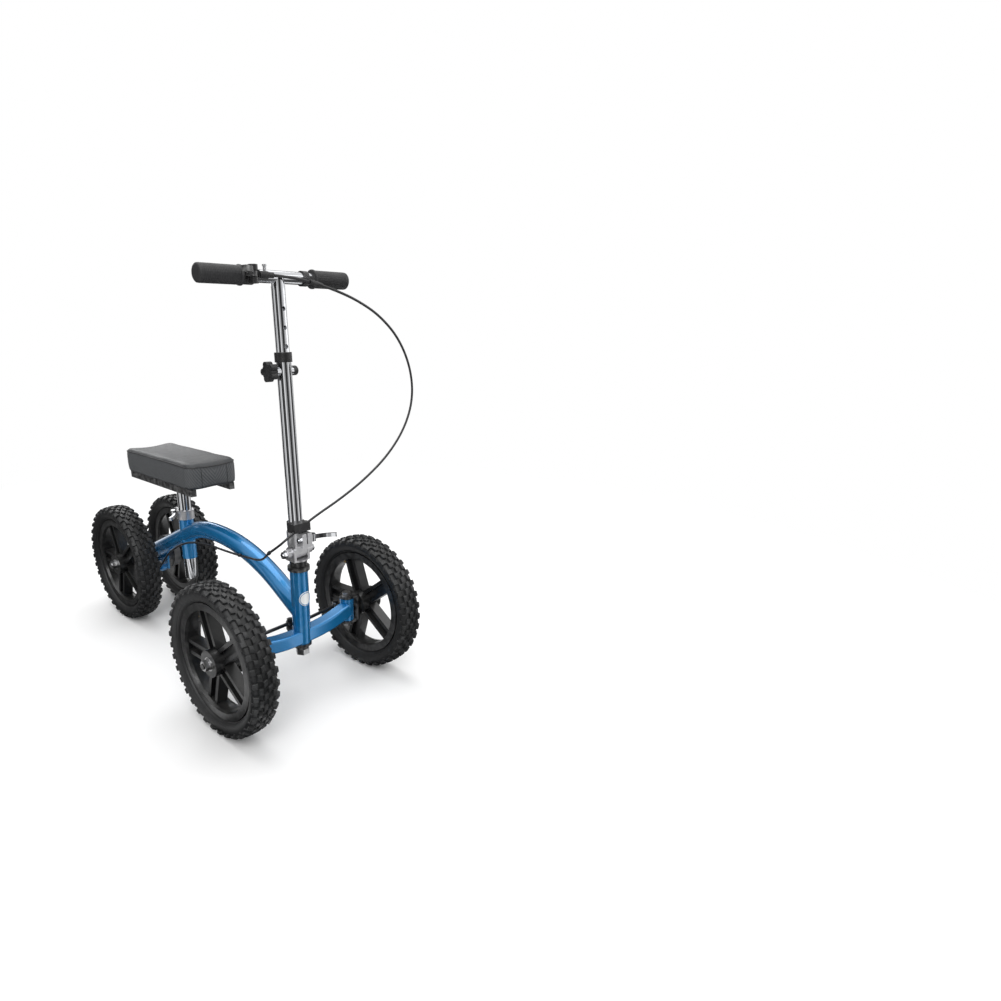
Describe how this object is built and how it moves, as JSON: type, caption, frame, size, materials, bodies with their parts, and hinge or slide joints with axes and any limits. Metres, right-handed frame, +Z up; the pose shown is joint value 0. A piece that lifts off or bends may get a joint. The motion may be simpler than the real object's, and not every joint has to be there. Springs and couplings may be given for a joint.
{
  "type": "knee scooter",
  "caption": "All-terrain knee scooter with a padded knee rest on an arched frame, linkage steering, a folding height-adjustable column and a hand brake.",
  "frame": {"origin": "on the ground, midway between the axles and between the sides", "axes": "+Z up, -Y forward, +X to the rider's left"},
  "size_m": [0.5662, 0.9598, 0.8666],
  "materials": {
    "frame_blue": "metallic gloss",
    "black_steel": "satin",
    "zinc_steel": "zinc plated",
    "chrome": "polished",
    "cast_aluminium": "cast satin",
    "tyre_rubber": "matt",
    "grip_rubber": "matt",
    "wheel_plastic": "moulded",
    "black_plastic": "moulded",
    "pad_vinyl": "grained vinyl over foam",
    "cable_housing": "smooth"
  },
  "bodies": {
    "frame": {"main_tube": "frame_blue", "head_tube": "frame_blue", "front_beam": "frame_blue", "seat_tube": "frame_blue", "rear_bracket": "frame_blue", "headset_cups": "black_steel", "kingpins": "zinc_steel", "seat_clamp": "cast_aluminium", "rear_axle": "zinc_steel", "rear_axle_nuts": "zinc_steel", "brake_plates": "black_steel", "brake_shoes": "zinc_steel", "cable_frame": "cable_housing", "cable_steer": "cable_housing"},
    "seat_lever": {"seat_lever": "chrome"},
    "seat": {"seat_post": "chrome", "pad_base": "black_steel", "knee_pad": "pad_vinyl"},
    "steerer": {"steerer": "black_steel", "steerer_nut": "zinc_steel", "pitman_arm": "black_steel", "fold_base": "chrome"},
    "tie_rod_left": {"tie_rod_left": "black_steel"},
    "tie_rod_right": {"tie_rod_right": "black_steel"},
    "knuckle_left": {"knuckle_left": "black_steel", "axle_nut_left": "zinc_steel"},
    "knuckle_right": {"knuckle_right": "black_steel", "axle_nut_right": "zinc_steel"},
    "wheel_front_left": {"tyre_front_left": "tyre_rubber", "wheel_front_left": "wheel_plastic", "bearings_front_left": "zinc_steel"},
    "wheel_front_right": {"tyre_front_right": "tyre_rubber", "wheel_front_right": "wheel_plastic", "bearings_front_right": "zinc_steel"},
    "wheel_rear_left": {"tyre_rear_left": "tyre_rubber", "wheel_rear_left": "wheel_plastic", "bearings_rear_left": "zinc_steel", "brake_drum_left": "zinc_steel"},
    "wheel_rear_right": {"tyre_rear_right": "tyre_rubber", "wheel_rear_right": "wheel_plastic", "bearings_rear_right": "zinc_steel", "brake_drum_right": "zinc_steel"},
    "column": {"fold_head": "chrome", "fold_bolts": "chrome", "column_tube": "chrome", "column_collar": "black_plastic", "height_nut": "black_plastic", "cable_clip": "black_plastic", "cable_fold": "cable_housing"},
    "fold_lever": {"fold_lever": "chrome"},
    "height_knob": {"height_knob": "black_plastic"},
    "handlebar": {"handlebar": "chrome", "grips": "grip_rubber", "brake_perch": "black_plastic", "cable_guide": "black_plastic", "cable_upper": "cable_housing"},
    "brake_lever": {"brake_lever": "black_steel"},
    "lock_button": {"lock_button": "zinc_steel"},
    "brake_cam": {"brake_cam": "cast_aluminium"},
    "brake_barrel": {"brake_barrel": "zinc_steel"}
  },
  "joints": [
    {"name": "steer", "type": "hinge", "parent": "frame", "child": "steerer", "pos_m": [0, -0.332, 0.2], "axis": [0, 0, 1], "range_deg": [-32, 32], "deforming": ["cable_steer"]},
    {"name": "pitman_pin_left", "type": "hinge", "parent": "steerer", "child": "tie_rod_left", "pos_m": [0, -0.292, 0.143], "axis": [0, 0, 1], "range_deg": [-32, 32]},
    {"name": "pitman_pin_right", "type": "hinge", "parent": "steerer", "child": "tie_rod_right", "pos_m": [0, -0.292, 0.1525], "axis": [0, 0, 1], "range_deg": [-32, 32]},
    {"name": "kingpin_left", "type": "hinge", "parent": "frame", "child": "knuckle_left", "pos_m": [0.136, -0.325, 0.155], "axis": [0, 0, 1], "range_deg": [-32, 32]},
    {"name": "kingpin_right", "type": "hinge", "parent": "frame", "child": "knuckle_right", "pos_m": [-0.136, -0.325, 0.155], "axis": [0, 0, 1], "range_deg": [-32, 32]},
    {"name": "wheel_front_left_spin", "type": "hinge", "parent": "knuckle_left", "child": "wheel_front_left", "pos_m": [0.191, -0.325, 0.155], "axis": [-1, 0, 0], "continuous": true},
    {"name": "wheel_front_right_spin", "type": "hinge", "parent": "knuckle_right", "child": "wheel_front_right", "pos_m": [-0.191, -0.325, 0.155], "axis": [-1, 0, 0], "continuous": true},
    {"name": "wheel_rear_left_spin", "type": "hinge", "parent": "frame", "child": "wheel_rear_left", "pos_m": [0.082, 0.325, 0.155], "axis": [-1, 0, 0], "continuous": true},
    {"name": "wheel_rear_right_spin", "type": "hinge", "parent": "frame", "child": "wheel_rear_right", "pos_m": [-0.082, 0.325, 0.155], "axis": [-1, 0, 0], "continuous": true},
    {"name": "column_fold", "type": "hinge", "parent": "steerer", "child": "column", "pos_m": [0, -0.332, 0.328], "axis": [-1, 0, 0], "range_deg": [0, 46], "deforming": ["cable_fold"]},
    {"name": "fold_lever_turn", "type": "hinge", "parent": "column", "child": "fold_lever", "pos_m": [0.0189, -0.35779, 0.36001], "axis": [0, -0.0384, -0.9993], "range_deg": [0, 80]},
    {"name": "height_knob_turn", "type": "hinge", "parent": "column", "child": "height_knob", "pos_m": [-0.03, -0.3183, 0.68474], "axis": [-1, 0, 0], "continuous": true},
    {"name": "bar_height", "type": "slide", "parent": "column", "child": "handlebar", "axis": [0, 0.0384, 0.9993], "range_m": [-0.1, 0.06], "deforming": ["cable_upper"]},
    {"name": "brake_lever_pull", "type": "hinge", "parent": "handlebar", "child": "brake_lever", "pos_m": [-0.07, -0.33898, 0.84965], "axis": [0, 0.0384, 0.9993], "range_deg": [0, 25], "stiffness_Nm_per_rad": 0.5, "springref_deg": -5.73},
    {"name": "lock_button_press", "type": "slide", "parent": "handlebar", "child": "lock_button", "axis": [0, -0.0384, -0.9993], "range_m": [0, 0.003], "stiffness_N_per_m": 150, "springref_m": -0.0005},
    {"name": "seat_height", "type": "slide", "parent": "frame", "child": "seat", "axis": [0, 0, 1], "range_m": [-0.06, 0.09]},
    {"name": "seat_lever_turn", "type": "hinge", "parent": "frame", "child": "seat_lever", "pos_m": [-0.0169, 0.149, 0.315], "axis": [0, 0, -1], "range_deg": [0, 90]},
    {"name": "brake_cam_turn", "type": "hinge", "parent": "frame", "child": "brake_cam", "pos_m": [0, 0.29902, 0.14], "axis": [-1, 0, 0], "range_deg": [0, 18]},
    {"name": "brake_barrel_turn", "type": "hinge", "parent": "brake_cam", "child": "brake_barrel", "pos_m": [0, 0.27569, 0.11667], "axis": [-1, 0, 0], "range_deg": [-18, 0]}
  ],
  "couplings": [
    {"joint": "kingpin_left", "follows": "steer", "ratio": 1},
    {"joint": "kingpin_right", "follows": "steer", "ratio": 1},
    {"joint": "pitman_pin_left", "follows": "steer", "ratio": -1},
    {"joint": "pitman_pin_right", "follows": "steer", "ratio": -1},
    {"joint": "brake_cam_turn", "follows": "brake_lever_pull", "ratio": 0.72},
    {"joint": "brake_barrel_turn", "follows": "brake_lever_pull", "ratio": -0.72}
  ]
}
